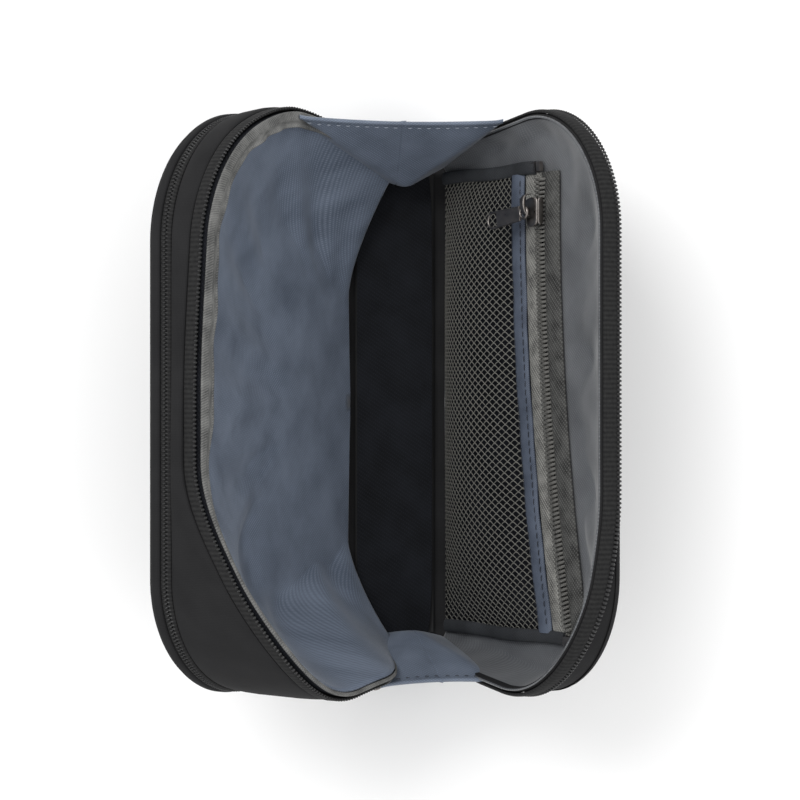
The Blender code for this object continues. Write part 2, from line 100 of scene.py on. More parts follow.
def woven(name, dark, light, spacing, slant, roughness, depth, sheen=0.0, mottle=14.0, gloss=0.2):
    """Woven cloth: two crossed thread waves from the piece's own millimetre UV map.

    spacing is the thread spacing across and along, slant turns the weave into a
    twill, and mottle is the size of the soft uneven patches of dye and handling.
    """
    material, tree, shader = start_material(name, roughness, sheen=sheen, gloss=gloss)
    place = add(tree, "ShaderNodeUVMap", {"uv_map": "mm"})
    turned = add(tree, "ShaderNodeMapping", {"Rotation": (0, 0, slant)}, Vector=place.outputs[0])
    waves = []
    for direction, gap in (("X", spacing[0]), ("Y", spacing[1])):
        rule = {"bands_direction": direction, "Scale": math.pi / 10 / gap, "Distortion": 0.0}
        waves.append(add(tree, "ShaderNodeTexWave", rule, Vector=turned.outputs[0]))
    rule = {"operation": "MULTIPLY"}
    crossed = add(tree, "ShaderNodeMath", rule, i0=waves[0].outputs[1], i1=waves[1].outputs[1])
    patches = add(tree, "ShaderNodeTexNoise", {"Scale": 1 / mottle, "Detail": 3.0}, Vector=place.outputs[0])
    fibre = add(tree, "ShaderNodeTexNoise", {"Scale": 2.2, "Detail": 2.0}, Vector=place.outputs[0])
    rule = {"operation": "MULTIPLY_ADD", 1: 0.55}
    shade = add(tree, "ShaderNodeMath", rule, i0=crossed.outputs[0], i2=patches.outputs[0])
    rule = {"operation": "MULTIPLY_ADD", 1: 0.35}
    shade = add(tree, "ShaderNodeMath", rule, i0=fibre.outputs[0], i2=shade.outputs[0])
    rule = {"From Min": 0.42, "From Max": 1.15, "To Min": 0.0, "To Max": 1.0}
    shade = add(tree, "ShaderNodeMapRange", rule, Value=shade.outputs[0])
    rule = {"data_type": "RGBA", 6: linear(dark), 7: linear(light)}
    colour = add(tree, "ShaderNodeMix", rule, i0=shade.outputs[0])
    bump = add(tree, "ShaderNodeBump", {"Strength": 0.6, "Distance": depth}, Height=crossed.outputs[0])
    tree.links.new(colour.outputs[2], shader.inputs["Base Color"])
    tree.links.new(bump.outputs[0], shader.inputs["Normal"])
    return material


def grid_mesh(name, points, uv, material, wrap=False, caps=False):
    """A mesh from a K by M grid of points in metres, with a millimetre UV at each.

    wrap joins the last column to the first, and caps closes both ends of such a tube.
    """
    rows, columns = points.shape[:2]
    index = np.arange(rows * columns).reshape(rows, columns)
    if wrap:
        index = np.concatenate([index, index[:, :1]], axis=1)
    quads = np.stack([index[:-1, :-1], index[1:, :-1], index[1:, 1:], index[:-1, 1:]], axis=-1)
    faces = quads.reshape(-1, 4).tolist()
    if caps:
        faces.append(index[0, :columns].tolist())
        faces.append(index[-1, :columns][::-1].tolist())
    return build_mesh(name, points.reshape(-1, 3), faces, uv.reshape(-1, 2), material)


def build_mesh(name, points, faces, uv, material):
    """A smooth-shaded piece from points and faces, its faces turned outwards."""
    mesh = bpy.data.meshes.new(name)
    mesh.from_pydata(points.tolist(), [], faces)
    layer = mesh.uv_layers.new(name="mm")
    corners = np.zeros(len(mesh.loops), np.int64)
    mesh.loops.foreach_get("vertex_index", corners)
    layer.data.foreach_set("uv", uv[corners].astype(np.float32).ravel())
    mesh.materials.append(material)
    work = bmesh.new()
    work.from_mesh(mesh)
    bmesh.ops.remove_doubles(work, verts=work.verts, dist=1e-7)
    bmesh.ops.recalc_face_normals(work, faces=work.faces)
    work.to_mesh(mesh)
    work.free()
    mesh.shade_smooth()
    mesh.set_sharp_from_angle(angle=math.radians(50))
    piece = bpy.data.objects.new(name, mesh)
    bpy.context.scene.collection.objects.link(piece)
    return piece


def face_towards(piece, direction):
    """Turn an open sheet's faces so that their mean normal agrees with direction."""
    normals = np.zeros(len(piece.data.polygons) * 3, np.float32)
    piece.data.polygons.foreach_get("normal", normals)
    if normals.reshape(-1, 3).mean(0) @ np.array(direction) < 0:
        piece.data.flip_normals()


def thicken(piece, thickness):
    """Give an open sheet its cloth's thickness, behind its face."""
    wall = piece.modifiers.new("thickness", "SOLIDIFY")
    wall.thickness = thickness / 1000
    wall.offset = -1.0


# Outer cloth: matt and nearly black, with only a trace of its weave.
shell_cloth = woven("charcoal_foam_backed_polyester", "#1b1b1c", "#272728", (0.5, 0.5), 0.0, 0.85, 0.00003,
                    gloss=0.12)
# Floor twill: a black twill, darkened further as painted shade so that it stays darker than every shadow on
# the linings.
black_twill_with_painted_shade = woven("black_floor_twill_painted_shade", "#08090b", "#1b1d22", (0.7, 1.1), 0.6, 0.75, 0.00008, gloss=0.1)


def make_base():
    """Slab over a superellipse plan: thickness stays, the long edges turn up 1 mm."""
    reach, across = np.meshgrid(np.linspace(-1, 1, 60), np.linspace(-1, 1, 24), indexing="ij")
    for name, half_x, half_y, low, high, cloth in (
        ("spine", 17.6, 80.0, 0.0, 2.0, shell_cloth),
        ("floor_lining", 12.2, 75.0, 4.0, 4.7, black_twill_with_painted_shade),
    ):
        x = half_x * across * (1 - 0.10 * np.abs(reach) ** 10)
        y = half_y * reach
        cup = 0.5 * np.abs(across) ** 6 + 0.35 * np.sin(reach * 9.0 + across * 2.0) * (low > 1)
        sides = [np.stack([x, y, z + cup * (z > 0)], -1) for z in (low + 0 * x, high + 0 * x)]
        loop = np.concatenate([sides[0], sides[1][:, ::-1]], axis=1) / 1000
        uv = np.concatenate([np.stack([x, y], -1), np.stack([x, y], -1)[:, ::-1]], axis=1)
        yield name, grid_mesh(name, loop, uv, cloth, wrap=True, caps=True)


for made_name, made in make_base():
    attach(made, "base")
    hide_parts("base_panel" if made_name == "spine" else "base_lining")

# The board's cut edge gives the eye a dull, faintly mottled grey line.
board, board_tree, board_shader = start_material("grey_fibre_board", 0.9)
pulp = add(board_tree, "ShaderNodeTexNoise", {"Scale": 900.0, "Detail": 3.0})
pulp_rule = {"data_type": "RGBA", 6: linear("#171718"), 7: linear("#1f1f20")}
pulp_shade = add(board_tree, "ShaderNodeMix", pulp_rule, i0=pulp.outputs[0])
board_tree.links.new(pulp_shade.outputs[2], board_shader.inputs["Base Color"])
nodes["base_stiffener"].data.materials[0] = board


# ---- Front half: main band, its zip tape and the rim -------------------------------
# The deep half is a band of the outer fabric bent round three sides and sewn to the
# divider. Its free edge carries one side of the main zip, on ribbed woven tape.
LENGTH = 178.0
WALL = 98.0
TAPER = math.radians(8.0)


def outline(left_radius, right_radius, foot=3.5, step=0.8):
    """Points up the left short side, over the top and down the right one.

    The direction of the outward normal is a line of constant angles joined by arcs;
    its angle is integrated along the path to give y and height at each step.
    """
    half = LENGTH / 2
    legs = [(WALL - foot - r * (1 + math.sin(TAPER))) / math.cos(TAPER) for r in (left_radius, right_radius)]
    sweep = math.pi / 2 + TAPER
    stops = np.cumsum([0, legs[0], left_radius * sweep, LENGTH - left_radius - right_radius,
                       right_radius * sweep, legs[1]])
    angles = np.array([-TAPER, -TAPER, math.pi / 2, math.pi / 2, math.pi + TAPER, math.pi + TAPER])
    along = np.linspace(0, stops[-1], int(stops[-1] / step))
    angle = np.interp(along, stops, angles)
    middle = (angle[1:] + angle[:-1]) / 2
    run = np.diff(along)
    start = half - left_radius * (1 - math.cos(TAPER)) - legs[0] * math.sin(TAPER)
    y = start + np.concatenate([[0], np.cumsum(-np.sin(middle) * run)])
    h = foot + np.concatenate([[0], np.cumsum(np.cos(middle) * run)])
    return {"y": y, "h": h, "ny": np.cos(angle), "nh": np.sin(angle), "s": along}


def ease(value):
    """Smooth step from 0 to 1."""
    t = np.clip(value, 0, 1)
    return t * t * (3 - 2 * t)


def front(u, h, y):
    """World metres of a point of the front half: its wall leans out by 35 degrees."""
    lean = math.radians(35)
    x = -18 + u * math.cos(lean) - h * math.sin(lean)
    z = 2 + u * math.sin(lean) + h * math.cos(lean)
    return np.stack(np.broadcast_arrays(x, y, z), -1) / 1000


def cover(u, h, y):
    """World metres of a point of the cover: its wall leans out by 31 degrees."""
    lean = math.radians(31)
    x = 18 - u * math.cos(lean) + h * math.sin(lean)
    z = 2 + u * math.sin(lean) + h * math.cos(lean)
    return np.stack(np.broadcast_arrays(x, y, z), -1) / 1000


def front_depth(path):
    """Depth of the front rim: shallow at mid-length, drawn far in at the right end.

    A cosine-eased toe grows towards the right end and fades down the short side.
    """
    y, h = path["y"], path["h"]
    toe = 30.3 * ease((-y / 89 - 0.2) / 0.8) * ease(h / 45)
    left = 3.7 * ease(y / 80)
    foot = 5.5 * (1 - ease(h / 50))
    return 19.7 + left + toe + foot


def section(u0, u1, n0, n1, crown=0.0, power=5.0, count=22):
    """A superellipse section between two depths and two outsets, its top crowned."""
    turn = np.linspace(0, 2 * math.pi, count, endpoint=False)
    a = np.sign(np.cos(turn)) * np.abs(np.cos(turn)) ** (2 / power)
    b = np.sign(np.sin(turn)) * np.abs(np.sin(turn)) ** (2 / power)
    shape = [np.asarray(v, float).reshape(-1, 1) for v in (u0, u1, n0, n1, crown)]
    low, high, bottom, top, rise = shape
    u = (low + high) / 2 + (high - low) / 2 * a
    n = (bottom + top) / 2 + (top - bottom) / 2 * b + rise * (1 - a ** 2) * (b > 0)
    return u, n


def along_path(name, path, place, u, n, material, closed=True):
    """Carry a section of depth u and outset n along the path."""
    rows = len(path["y"])
    u = np.broadcast_to(u, (rows, u.shape[1]))
    n = np.broadcast_to(n, (rows, n.shape[1]))
    y = path["y"][:, None] + n * path["ny"][:, None]
    h = path["h"][:, None] + n * path["nh"][:, None]
    step = np.hypot(np.diff(u, axis=1), np.diff(n, axis=1))
    girth = np.concatenate([np.zeros((rows, 1)), np.cumsum(step, axis=1)], axis=1)
    uv = np.stack([np.broadcast_to(path["s"][:, None], u.shape), girth], -1)
    return grid_mesh(name, place(u, h, y), uv, material, wrap=closed, caps=closed)


front_path = outline(41, 36)
depth = front_depth(front_path)
tape_end = depth - 1.7
tape_start = tape_end - 4.1


def follow_front(piece, *replaced, slot):
    """Bake the piece's placement into its mesh and hide the parts it replaces."""
    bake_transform(piece)
    if replaced:
        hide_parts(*replaced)


flare = 2.6 * np.exp(-(((front_path["h"] - 47) / 17) ** 2)) * (front_path["y"] > 55)
flare = flare + 0.9 * np.exp(-(((front_path["h"] - 68) / 16) ** 2)) * (front_path["y"] < -55)
rim_path = dict(front_path)
rim_path["y"] = front_path["y"] + flare * front_path["ny"]
rim_path["h"] = front_path["h"] + flare * front_path["nh"]

swell = 0.25 * np.sin(front_path["s"] / 23.0) + 0.15 * np.sin(front_path["s"] / 9.0)
band_u, band_n = section(9.3, tape_start - 0.15, -2.0, 0.0 + swell, crown=0.5)
band_n = band_n + flare[:, None] * np.clip((band_u - 9.3) / (tape_start - 9.3)[:, None], 0, 1)
main_band = along_path("main_band_cloth", front_path, front, band_u, band_n, shell_cloth)
follow_front(main_band, "main_band", slot="charcoal_fabric")


# The tape is a dense polyester weave with crosswise ribs where the coil's loops are
# sewn beneath it. It is stitched down in a sunk seam beside the band.
def ribbed_tape(name, dark, light, pitch, across, depth_m):
    """Woven tape: crosswise ribs at the coil's pitch over a fine weave, the ribs painted lighter than their
    grooves as a painted highlight.
    """
    material, tree, shader = start_material(name, 0.85, gloss=0.15)
    place = add(tree, "ShaderNodeUVMap", {"uv_map": "mm"})
    rule = {"bands_direction": "X", "Scale": math.pi / 10 / pitch, "Distortion": 0.0}
    rib = add(tree, "ShaderNodeTexWave", rule, Vector=place.outputs[0])
    rule = {"bands_direction": "Y", "Scale": math.pi / 10 / across, "Distortion": 0.6}
    thread = add(tree, "ShaderNodeTexWave", rule, Vector=place.outputs[0])
    rule = {"operation": "MULTIPLY_ADD", 1: 0.5}
    both = add(tree, "ShaderNodeMath", rule, i0=thread.outputs[1], i2=rib.outputs[1])
    noise = add(tree, "ShaderNodeTexNoise", {"Scale": 0.8, "Detail": 3.0}, Vector=place.outputs[0])
    shade = add(tree, "ShaderNodeMath", rule, i0=both.outputs[0], i2=noise.outputs[0])
    rule = {"From Min": 0.4, "From Max": 1.35}
    shade = add(tree, "ShaderNodeMapRange", rule, Value=shade.outputs[0])
    rule = {"data_type": "RGBA", 6: linear(dark), 7: linear(light)}
    colour = add(tree, "ShaderNodeMix", rule, i0=shade.outputs[0])
    bump = add(tree, "ShaderNodeBump", {"Strength": 0.7, "Distance": depth_m}, Height=both.outputs[0])
    tree.links.new(colour.outputs[2], shader.inputs["Base Color"])
    tree.links.new(bump.outputs[0], shader.inputs["Normal"])
    return material


# Charcoal tape: fine ribs painted with a thin grey highlight across the band.
charcoal_tape = ribbed_tape("charcoal_ribbed_tape_painted_highlight", "#161617", "#2b2b2b", 1.45, 0.5, 0.00006)
tape_u, tape_n = section(tape_start + 0.1, tape_end, -1.2, -0.35, crown=0.25)
main_tape = along_path("main_tape_front_cloth", rim_path, front, tape_u, tape_n, charcoal_tape)
follow_front(main_tape, "main_tape_front", slot="charcoal_zip_tape")


# Zip rows are nylon monofilament wound in a coil. Each loop is a short arch that
# rises from the tape at one side and comes back to it at the other.
def nylon(name, colour, roughness):
    """Moulded nylon: nearly smooth, with a soft broad highlight and faint mottling."""
    material, tree, shader = start_material(name, roughness)
    place = add(tree, "ShaderNodeTexCoord")
    noise = add(tree, "ShaderNodeTexNoise", {"Scale": 900.0, "Detail": 2.0}, Vector=place.outputs["Object"])
    low, high = linear(colour), tuple(min(1.0, c * 1.5) for c in linear(colour))
    colour = add(tree, "ShaderNodeMix", {"data_type": "RGBA", 6: low, 7: high}, i0=noise.outputs[0])
    tree.links.new(colour.outputs[2], shader.inputs["Base Color"])
    return material


def loops(name, spots, along, across, out, size, pitch, material, lean=0.0):
    """Repeat one arch at each spot: a hexagonal wire bent over a half ellipse.

    along, across and out are unit vectors at each spot; size is (width, height, wire
    radius) in millimetres, and lean slants each loop along the zip.
    """
    width, height, wire = size
    turn = np.linspace(0.0, math.pi, 6)
    ring = np.linspace(0, 2 * math.pi, 6, endpoint=False)
    reach = (1 - np.cos(turn))[:, None] / 2 * width
    lift = np.sin(turn)[:, None] * height
    radial = np.cos(ring)[None, :] * wire
    local_along = np.sin(ring)[None, :] * wire + lean * pitch * (turn[:, None] / math.pi)
    local_across = reach - np.cos(turn)[:, None] * radial
    local_out = lift + np.sin(turn)[:, None] * radial
    shape = np.stack(np.broadcast_arrays(local_along, local_across, local_out), -1).reshape(-1, 3) / 1000
    axes = np.stack([along, across, out], axis=1)
    points = spots[:, None, :] + np.einsum("pk,nkc->npc", shape, axes)
    index = np.arange(36).reshape(6, 6)
    index = np.concatenate([index, index[:, :1]], axis=1)
    quads = np.stack([index[:-1, :-1], index[1:, :-1], index[1:, 1:], index[:-1, 1:]], -1).reshape(-1, 4)
    shift = (np.arange(len(spots)) * 36)[:, None, None]
    faces = (quads[None] + shift).reshape(-1, 4).tolist()
    ends = np.stack([index[0, :6], index[-1, :6][::-1]])
    faces += (ends[None] + shift).reshape(-1, 6).tolist()
    uv = np.zeros((len(spots) * 36, 2))
    return build_mesh(name, points.reshape(-1, 3), faces, uv, material)


def frames_on(path, place, u, n, pitch):
    """Spots every pitch along the path at depth u and outset n, with their axes."""
    u = np.broadcast_to(u, path["y"].shape)
    y = path["y"] + n * path["ny"]
    h = path["h"] + n * path["nh"]
    line = place(u, h, y)
    run = np.concatenate([[0], np.cumsum(np.linalg.norm(np.diff(line, axis=0), axis=1))]) * 1000
    at = np.arange(pitch, run[-1] - pitch, pitch)
    spots = np.stack([np.interp(at, run, line[:, c]) for c in range(3)], -1)
    along = np.stack([np.interp(at, run, np.gradient(line[:, c])) for c in range(3)], -1)
    along /= np.linalg.norm(along, axis=1, keepdims=True)
    lifted = place(u, h + 0.01 * path["nh"], y + 0.01 * path["ny"])
    out = np.stack([np.interp(at, run, (lifted - line)[:, c]) for c in range(3)], -1)
    out -= along * np.sum(out * along, axis=1, keepdims=True)
    out /= np.linalg.norm(out, axis=1, keepdims=True)
    return spots, along, np.cross(along, out), out


# Charcoal nylon: each loop shows as a small soft glint on black.
charcoal_nylon = nylon("charcoal_nylon_coil", "#121213", 0.45)
spots, along, across, out = frames_on(rim_path, front, tape_end - 0.35, -0.75, 1.3)
sign = 1 if (across[50] @ (front(1.0, 50.0, 0.0) - front(0.0, 50.0, 0.0))) > 0 else -1
main_teeth = loops("main_coil_front_loops", spots, along, across * sign, out, (0.6, 0.35, 0.34), 1.3,
                   charcoal_nylon)
follow_front(main_teeth, "main_coil_front", slot="charcoal_zip_coil")


# ---- Front half: rim binding and compartment lining ---------------------------------
# A grey grosgrain tape binds the raw edges under the zip and hangs inside the rim.
# The satin twill lining starts at it and falls slackly to the divider.
# Grosgrain: a mid grey with a coarse, clearly ribbed weave; its pale rib tops are painted highlight and its
# dark grooves painted shade.
grosgrain = woven("grey_grosgrain_painted_light_and_shade", "#2a2b2c", "#7d7d7b", (0.75, 0.45), 0.35, 0.75, 0.00012, mottle=6.0)
drop = 5.0 - 3.8 * ease((-front_path["y"] + 5) / 50)
# Small gathers form where the left short side turns into its corner.
gather = 0.9 * np.exp(-(((front_path["s"] - 62) / 16) ** 2))
flutter = gather * np.sin(front_path["s"] / 1.9)
flutter = flutter + 0.35 * np.sin(front_path["s"] / 5.1) + 0.25 * np.sin(front_path["s"] / 2.7)
binding_u, binding_n = section(depth - 0.45 + 0 * drop, depth + 0.35 + 0 * drop, -1.7 - drop, -1.7)
binding_u = binding_u + (flutter[:, None] + 0.6) * np.clip(-(binding_n + 1.7) / 5, 0, 1)
rim_binding = along_path("rim_binding_grosgrain", rim_path, front, binding_u, binding_n, grosgrain)
follow_front(rim_binding, "rim_binding", slot="grey_zip_tape")

# Beneath the tape runs a seam allowance in the black twill, which closes the gap beside the binding; its
# black is painted shade of the recess there.
seam_u, seam_n = section(tape_end - 3.0, depth + 0.2, -2.4, -1.75)
seam_allowance_painted_shade = along_path("rim_seam_allowance_painted_shade", rim_path, front, seam_u, seam_n, black_twill_with_painted_shade)
follow_front(seam_allowance_painted_shade, slot="black_backing")

# Satin twill: a blue grey that brightens softly where the cloth turns to the light.
lining_cloth = woven("blue_grey_satin_twill", "#424b59", "#707a8a", (0.8, 0.8), 0.9, 0.42, 0.00008,
                     sheen=0.12, gloss=0.4)


def tray_lining(name, path, place, rim_u, rim_n, wall, reach, quiet, material, rows=44):
    """Lining from the rim to the middle of the wall.

    Each ring is the rim's outline shrunk towards the foot of the wall. Its depth falls
    from the rim's to the wall's over reach, as an eased power of the distance inwards;
    crosswise sines crease it, quiet from 0 to 1 flattens them where it lies pressed.
    """
    size = np.concatenate([np.linspace(1, 0.5, rows), np.linspace(0.5, 0, 14)[1:]])[None, :]
    y0 = path["y"] + rim_n * path["ny"]
    h0 = path["h"] + rim_n * path["nh"]
    y = y0[:, None] * size
    h = (h0[:, None] - 2.0) * size + 2.0
    inward = (1 - size) * np.hypot(y0, h0 - 2.0)[:, None]
    fall = np.clip(1 - inward / reach[:, None], 0, 1) ** 1.7
    flat = wall(h)
    crease = 0.7 * np.sin(path["s"] / 6.5)[:, None] + 0.5 * np.sin(path["s"] / 3.7 + 1.0)[:, None]
    fold = crease * np.sin(math.pi * np.clip(1 - inward / (reach[:, None] * 1.3), 0, 1)) ** 2
    broad = 0.9 * np.sin(y / 17.0 + h / 29.0) * np.sin(h / 21.0 - y / 40.0) * np.sin(math.pi * size)
    u = flat + (rim_u[:, None] - flat) * fall + (fold + broad) * (1 - quiet(y, h))
    u = np.maximum(u, flat - 0.1)
    uv = np.stack([y, h + u], -1)
    return grid_mesh(name, place(u, h, y), uv, material)


front_lining = tray_lining(
    "compartment_lining", rim_path, front, depth - 0.3, -3.4,
    lambda h: 5.7 + 0.0882 * h, 46 - 12 * ease((-rim_path["y"] - 20) / 50), lambda y, h: 0 * y, lining_cloth,
)
face_towards(front_lining, (1, 0, 1))
thicken(front_lining, 0.5)
follow_front(front_lining, "front_lining", "band_lining", slot="blue_grey_lining")

# Pocket twill: flat black, partly painted shade, so that the wall behind the netting reads as depth.
pocket_twill_painted_shade = woven("black_pocket_twill_painted_shade", "#0b0b0d", "#18191b", (0.6, 0.6), 0.8, 0.8, 0.00005)


def wall_sheet(name, path, place, near, far, inset, lean, bulge, material):
    """A flat padded sheet of the outline: rings shrunk to the foot, domed by bulge."""
    size = np.linspace(1, 0, 24)[None, :]
    y = (path["y"] - inset * path["ny"])[:, None] * size
    h = (path["h"] - inset * path["nh"] - 2.0)[:, None] * size + 2.0
    dome = bulge * (1 - size ** 4)
    sides = [place(near - dome + lean * h, h, y), place(far + lean * h, h, y)]
    points = np.concatenate([sides[0], sides[1][:, ::-1]], axis=1)
    uv = np.stack([y, h], -1)
    return grid_mesh(name, points, np.concatenate([uv, uv[:, ::-1]], axis=1), material, wrap=True, caps=True)


coarse_path = {key: value[::3] for key, value in front_path.items()}
# The divider is cut from the pocket twill, whose black is partly painted shade.
divider = wall_sheet("divider_cloth", coarse_path, front, 3.5, 4.3, 2.8, 0.0882, 0.0, pocket_twill_painted_shade)
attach(divider, "front_half")
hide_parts("divider_wall")


# ---- Front pocket --------------------------------------------------------------------
# A domed front panel with its own narrow edge band closes a flat pocket. Its fine
# coil zip runs round three sides, and its two rows are meshed.
def outer_panel(name, path, place, band_depth, bulge, material):
    """Outer face and its rounded edge: rings shrunk to the foot, domed, then rolled over."""
    size = np.linspace(1, 0, 30)[None, :]
    roll = np.linspace(0, math.pi / 2, 8)[None, :]
    edge_u = 2.6 * (1 - np.sin(roll))
    edge_n = -2.6 * (1 - np.cos(roll))
    y0, h0 = path["y"], path["h"]
    y_edge = y0[:, None] + edge_n * path["ny"][:, None]
    h_edge = h0[:, None] + edge_n * path["nh"][:, None]
    y_face = (y0 - 2.6 * path["ny"])[:, None] * size[:, 1:]
    h_face = (h0 - 2.6 * path["nh"] - 1.0)[:, None] * size[:, 1:] + 1.0
    u_face = -bulge * (1 - size[:, 1:] ** 3) + 0.25 * np.sin(y_face / 21) * np.sin(h_face / 17)
    front_u = np.concatenate([np.broadcast_to(edge_u, y_edge.shape), u_face], axis=1)
    y = np.concatenate([y_edge, y_face], axis=1)
    h = np.concatenate([h_edge, h_face], axis=1)
    back_u = np.full_like(front_u, band_depth)
    ring = np.concatenate([place(front_u, h, y), place(back_u, h, y)[:, ::-1]], axis=1)
    uv = np.stack([y, h], -1)
    return grid_mesh(name, ring, np.concatenate([uv, uv[:, ::-1]], axis=1), material, wrap=True, caps=True)


front_face = outer_panel("front_panel_cloth", front_path, front, 2.4, 1.0, shell_cloth)
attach(front_face, "pocket_flap")
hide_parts("front_panel")

edge_u, edge_n = section(1.9, 5.0, -2.2, 0.15, crown=0.35)
edge_band = along_path("front_edge_band_cloth", front_path, front, edge_u, edge_n, shell_cloth)
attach(edge_band, "pocket_flap")
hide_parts("front_edge_band")

pocket_back = wall_sheet("pocket_lining_cloth", coarse_path, front, 2.85, 3.15, 2.8, 0.0, 0.0, pocket_twill_painted_shade)
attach(pocket_back, "pocket_flap")
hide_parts("pocket_lining")

# Fine tape: the same charcoal with closer ribs and the same painted rib highlight, so it looks smoother.
fine_tape = ribbed_tape("charcoal_fine_tape_painted_highlight", "#161617", "#2b2b2b", 1.2, 0.4, 0.00004)
for half, body, start, end, side in (
    ("outer", "pocket_flap", 5.15, 6.95, -1),
    ("inner", "front_half", 7.25, 9.1, 1),
):
    row_u, row_n = section(start, end, -1.4, -0.45, crown=0.3)
    tape = along_path("pocket_tape_" + half + "_cloth", front_path, front, row_u, row_n, fine_tape)
    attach(tape, body)
    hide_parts("pocket_tape_" + half)
    spots, along, across, out = frames_on(front_path, front, 7.1, -0.55, 1.2)
    if half == "inner":
        spots = spots + along * 0.0006
    teeth = loops("pocket_coil_" + half + "_loops", spots, along, across * sign * side, out,
                  (1.15, 0.42, 0.26), 1.2, charcoal_nylon, lean=0.2)
    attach(teeth, body)
    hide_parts("pocket_coil_" + half)


# ---- Cover ---------------------------------------------------------------------------
# The shallow half: a domed back panel and a narrow band. The main zip's other tape
# is folded back over the band, so its coil lies along the outer edge.
cover_path = outline(37.5, 37.5)
cover_depth = 8.2 + 8.7 * ease((-cover_path["y"] / 89 - 0.3) / 0.7) * ease(cover_path["h"] / 45)


def follow_cover(piece, *replaced, slot):
    """Bake the piece's placement into its mesh and hide the parts it replaces."""
    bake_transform(piece)
    if replaced:
        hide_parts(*replaced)


back_face = outer_panel("back_panel_cloth", cover_path, cover, 2.2, 1.2, shell_cloth)
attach(back_face, "cover")
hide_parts("back_panel")

band_u, band_n = section(2.0, cover_depth - 0.5, -2.0, -0.3, crown=0.2)
cover_band = along_path("cover_band_cloth", cover_path, cover, band_u, band_n, shell_cloth)
follow_cover(cover_band, "cover_band", slot="charcoal_fabric")

tape_u, tape_n = section(cover_depth - 5.6, cover_depth - 0.7, 0.0, 0.8, crown=0.5)
cover_tape = along_path("main_tape_cover_cloth", cover_path, cover, tape_u, tape_n, charcoal_tape)
follow_cover(cover_tape, "main_tape_cover", slot="charcoal_zip_tape")

spots, along, across, out = frames_on(cover_path, cover, cover_depth - 5.5, 0.55, 1.3)
cover_sign = 1 if (across[50] @ (cover(0.0, 50.0, 0.0) - cover(1.0, 50.0, 0.0))) > 0 else -1
cover_teeth = loops("main_coil_cover_loops", spots, along, across * cover_sign, out,
                    (1.2, 0.5, 0.42), 1.3, charcoal_nylon)
follow_cover(cover_teeth, "main_coil_cover", slot="charcoal_zip_coil")

POCKET_HALF = 71.0
ZIP_BASE = 60.5


def zip_height(y):
    """Height of the pocket's zip: level at the left, rising ever faster to the right."""
    return ZIP_BASE + 15.4 * np.clip((60 - y) / 131, 0, 2) ** 1.9



def under_pocket(y, h):
    """1 behind the mesh pocket, where the lining is held flat, easing to 0 around it."""
    above = ease((zip_height(y) + 16 - h) / 5)
    return above * ease((82 - np.abs(y)) / 5)


# Cover lining: the same satin twill in a neutral grey, with a stronger sheen.
cover_cloth = woven("grey_satin_twill", "#3c3e41", "#646669", (0.8, 0.8), 0.9, 0.42, 0.00006,
                    sheen=0.25, gloss=0.4)
cover_lining = tray_lining(
    "cover_lining_cloth", cover_path, cover, cover_depth - 0.1, -1.2,
    lambda h: 3.2 + 0 * h, 7.5 + 9 * ease(cover_path["nh"]), under_pocket, cover_cloth,
)
face_towards(cover_lining, (-1, 0, 1))
thicken(cover_lining, 0.5)
follow_cover(cover_lining, "cover_lining", "cover_band_lining", slot="grey_lining")


# ---- Mesh pocket ----------------------------------------------------------------------
# A zip is sewn across the cover's lining. Below it hangs a panel of knitted diamond
# netting with a bound top edge, over a black backing, closed at both ends by strips.
def pocket_strip(name, low, high, near, far, crown, material, count=150, wave=0.0):
    """A rounded strip between two heights from the zip line, along the pocket."""
    y = np.linspace(POCKET_HALF, -POCKET_HALF, count)
    u, n = section(near + 0 * y, far + 0 * y, low + 0 * y, high + 0 * y)
    u = u + crown * (1 - ((n - (low + high) / 2) / ((high - low) / 2)) ** 2) * (u > (near + far) / 2)
    u = u + wave * np.sin(y / 3.1)[:, None] + wave * np.sin(y / 7.7)[:, None]
    h = zip_height(y)[:, None] + n
    uv = np.stack([np.broadcast_to(y[:, None], n.shape), n], -1)
    return grid_mesh(name, cover(u, h, y[:, None]), uv, material, wrap=True, caps=True)


# Pocket tape: a dull dark grey with a coarse twill; the row below the zip gets a paler copy of it as painted
# light.
pocket_tape = woven("grey_zip_tape_twill", "#151515", "#5a5a58", (0.75, 1.1), 0.75, 0.8, 0.00018, mottle=5.0)


def add_pocket_piece(piece, node, body="cover"):
    """Fix a piece to its body, in its node's place."""
    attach(piece, body)
    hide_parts(node)


add_pocket_piece(pocket_strip("mesh_tape_upper_cloth", 0.3, 9.4, 3.6, 4.3, 0.5, pocket_tape),
                 "mesh_tape_upper")
# The lower row's tape is the same twill made paler: painted light.
lit_tape = woven("zip_tape_twill_painted_light", "#2e2e2e", "#95948f", (0.75, 1.1), 0.75, 0.8, 0.00018, mottle=5.0)
add_pocket_piece(pocket_strip("mesh_tape_lower_cloth", -9.2, -0.3, 3.5, 4.2, 0.4, lit_tape),
                 "mesh_tape_lower")

# Binding: a blue-grey band a shade darker than the lining.
binding_cloth = woven("blue_grey_binding", "#353b47", "#5c6472", (0.5, 0.5), 0.8, 0.6, 0.00004, mottle=8.0)
add_pocket_piece(
    pocket_strip("mesh_binding_cloth", -16.6, -9.6, 3.7, 4.6, 0.7, binding_cloth, wave=0.12),
    "mesh_binding",
)


def stitches(name, spots, along, out, length, thread):
    """Thread bridges: one shallow arch lying along the seam at each spot."""
    side = np.cross(out, along)
    return loops(name, spots - along * length / 2000, side, along, out, (length, 0.16, 0.13), 1.0, thread)


